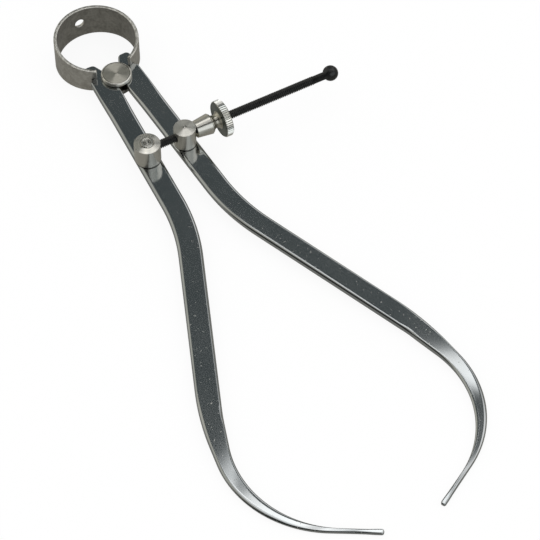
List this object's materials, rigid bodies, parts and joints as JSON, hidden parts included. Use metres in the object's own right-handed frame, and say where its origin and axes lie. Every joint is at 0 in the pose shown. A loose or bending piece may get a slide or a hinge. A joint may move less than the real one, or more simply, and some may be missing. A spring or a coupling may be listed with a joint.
{
  "type": "spring caliper",
  "caption": "Outside spring caliper: bowed flat steel legs on a fulcrum stud, sprung open by a C-shaped bow and set by a knurled nut on a ball-ended screw.",
  "frame": {"origin": "middle of the fulcrum stud's lower face", "axes": "+Y from the fulcrum towards the bow, with the legs along -Y; +X towards the nut, along the screw; +Z out of the legs' upper faces"},
  "size_m": [0.0817, 0.1739, 0.0141],
  "materials": {
    "polished_steel": "mirror polished, slightly specked",
    "spring_steel": "satin, worn bright at the rims",
    "turned_steel": "turned and polished",
    "black_steel": "blackened, glossy"
  },
  "bodies": {
    "fulcrum": {"fulcrum_stud": "turned_steel", "bow_spring": "spring_steel"},
    "left_leg": {"left_leg": "polished_steel"},
    "right_leg": {"right_leg": "polished_steel"},
    "screw": {"anchor_post": "turned_steel", "adjusting_screw": "black_steel"},
    "guide_post": {"guide_post": "turned_steel"},
    "nut": {"adjusting_nut": "turned_steel"}
  },
  "joints": [
    {"name": "left_leg_swing", "type": "hinge", "parent": "fulcrum", "child": "left_leg", "pos_m": [0, 0, 0], "axis": [0, 0, -1], "range_deg": [-2.9, 25], "deforming": ["bow_spring"]},
    {"name": "right_leg_swing", "type": "hinge", "parent": "fulcrum", "child": "right_leg", "pos_m": [0, 0, 0], "axis": [0, 0, 1], "range_deg": [-2.9, 25], "deforming": ["bow_spring"]},
    {"name": "anchor_swivel", "type": "hinge", "parent": "left_leg", "child": "screw", "pos_m": [-0.00524, -0.02786, 0.00315], "axis": [0, 0, 1], "range_deg": [-2.9, 25]},
    {"name": "guide_swivel", "type": "hinge", "parent": "right_leg", "child": "guide_post", "pos_m": [0.00524, -0.02786, 0.00315], "axis": [0, 0, -1], "range_deg": [-2.9, 25]},
    {"name": "nut_turn", "type": "hinge", "parent": "guide_post", "child": "nut", "pos_m": [0.00524, -0.02786, 0.00655], "axis": [1, 0, 0], "range_deg": [-2000, 17400]}
  ],
  "couplings": [
    {"joint": "left_leg_swing", "follows": "nut_turn", "ratio": 0.0014283},
    {"joint": "right_leg_swing", "follows": "nut_turn", "ratio": 0.0014283},
    {"joint": "anchor_swivel", "follows": "nut_turn", "ratio": 0.0014283},
    {"joint": "guide_swivel", "follows": "nut_turn", "ratio": 0.0014283}
  ]
}
